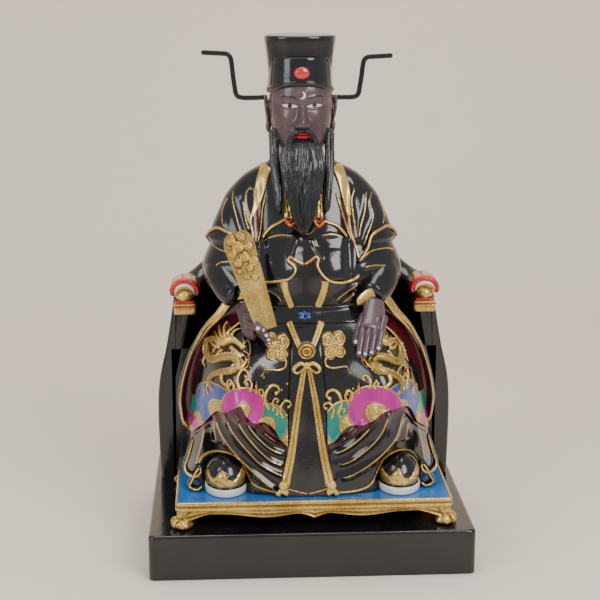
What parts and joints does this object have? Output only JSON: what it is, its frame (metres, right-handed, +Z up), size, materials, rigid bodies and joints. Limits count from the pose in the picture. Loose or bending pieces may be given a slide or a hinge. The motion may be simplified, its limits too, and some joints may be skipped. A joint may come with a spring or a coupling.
{
  "type": "seated official statue",
  "caption": "Painted statue of a robed, bearded official in a winged hat, seated in a closed armchair with a tablet, feet on a low stool, on a black plinth.",
  "frame": {"origin": "middle of the underside of the plinth", "axes": "+Z up, -Y towards the front of the statue, +X to the viewer's right"},
  "size_m": [0.5, 0.38, 0.806],
  "materials": {
    "plinth_lacquer": "glossy black lacquer paint",
    "chair_lacquer": "glossy black lacquer paint with gilt and red arm heads",
    "stool_paint": "blue painted top, gilt mouldings and feet",
    "robe_lacquer": "glossy black paint with gilt edges and coloured bands",
    "tablet_gilt": "gold leaf paint",
    "wing_lacquer": "glossy black paint on thin strip",
    "jewel_red": "glossy red paint"
  },
  "bodies": {
    "root": {"plinth": "plinth_lacquer", "chair": "chair_lacquer", "footstool": "stool_paint", "figure": "robe_lacquer", "tablet": "tablet_gilt", "left_wing": "wing_lacquer", "right_wing": "wing_lacquer", "hat_jewel": "jewel_red"}
  },
  "joints": []
}
